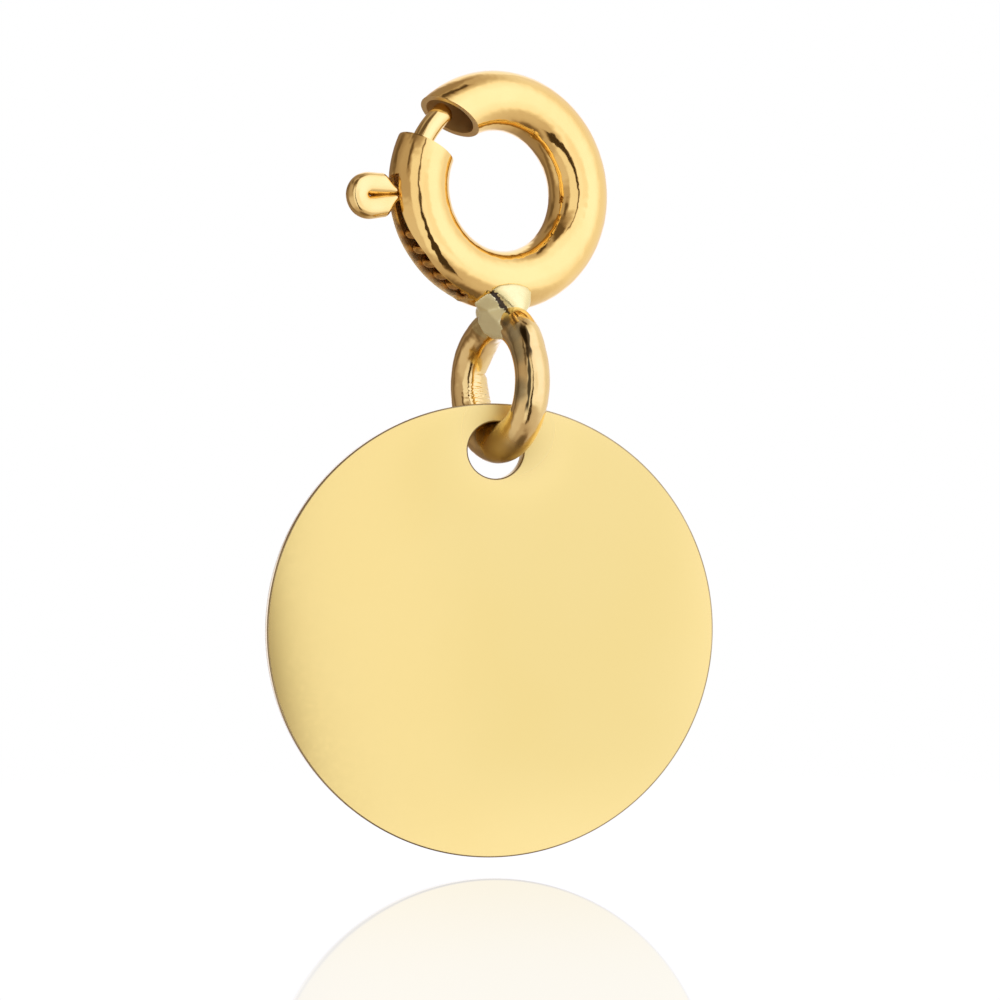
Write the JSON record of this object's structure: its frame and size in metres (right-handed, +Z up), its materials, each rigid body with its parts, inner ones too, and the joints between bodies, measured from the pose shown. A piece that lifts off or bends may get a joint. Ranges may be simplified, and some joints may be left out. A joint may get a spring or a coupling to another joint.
{
  "type": "disc charm on a spring ring clasp",
  "caption": "Flat round disc hung through its hole on a closed link ring, soldered to a spring ring clasp with a sliding bolt and hairpin thumb piece.",
  "frame": {"origin": "top of the opening in the clasp ring, on its inner surface, where a chain link carries the charm", "axes": "+Z up, along the hanging length; +X across the clasp ring, away from its thumb piece; +Y to the back, the clasp ring standing in the XZ plane"},
  "size_m": [0.0116, 0.0045, 0.0209],
  "materials": {
    "clasp_gold": "polished gold plate",
    "bolt_gold": "polished gold plate",
    "spring_wire": "drawn wire, slightly dull",
    "disc_gold": "polished pale gold plate"
  },
  "bodies": {
    "clasp": {"clasp_shell": "clasp_gold", "spring": "spring_wire"},
    "bolt": {"bolt": "bolt_gold"},
    "disc": {"disc": "disc_gold"}
  },
  "joints": [
    {"name": "bolt_slide", "type": "hinge", "parent": "clasp", "child": "bolt", "pos_m": [0, 0, -0.0016], "axis": [0, -1, 0], "range_deg": [0, 40], "stiffness_Nm_per_rad": 0.000005, "springref_deg": -34.38, "deforming": ["spring"]},
    {"name": "disc_swing", "type": "hinge", "parent": "clasp", "child": "disc", "pos_m": [0, 0, -0.00673], "axis": [0.9981, 0.061, 0], "range_deg": [-110, 110]}
  ]
}
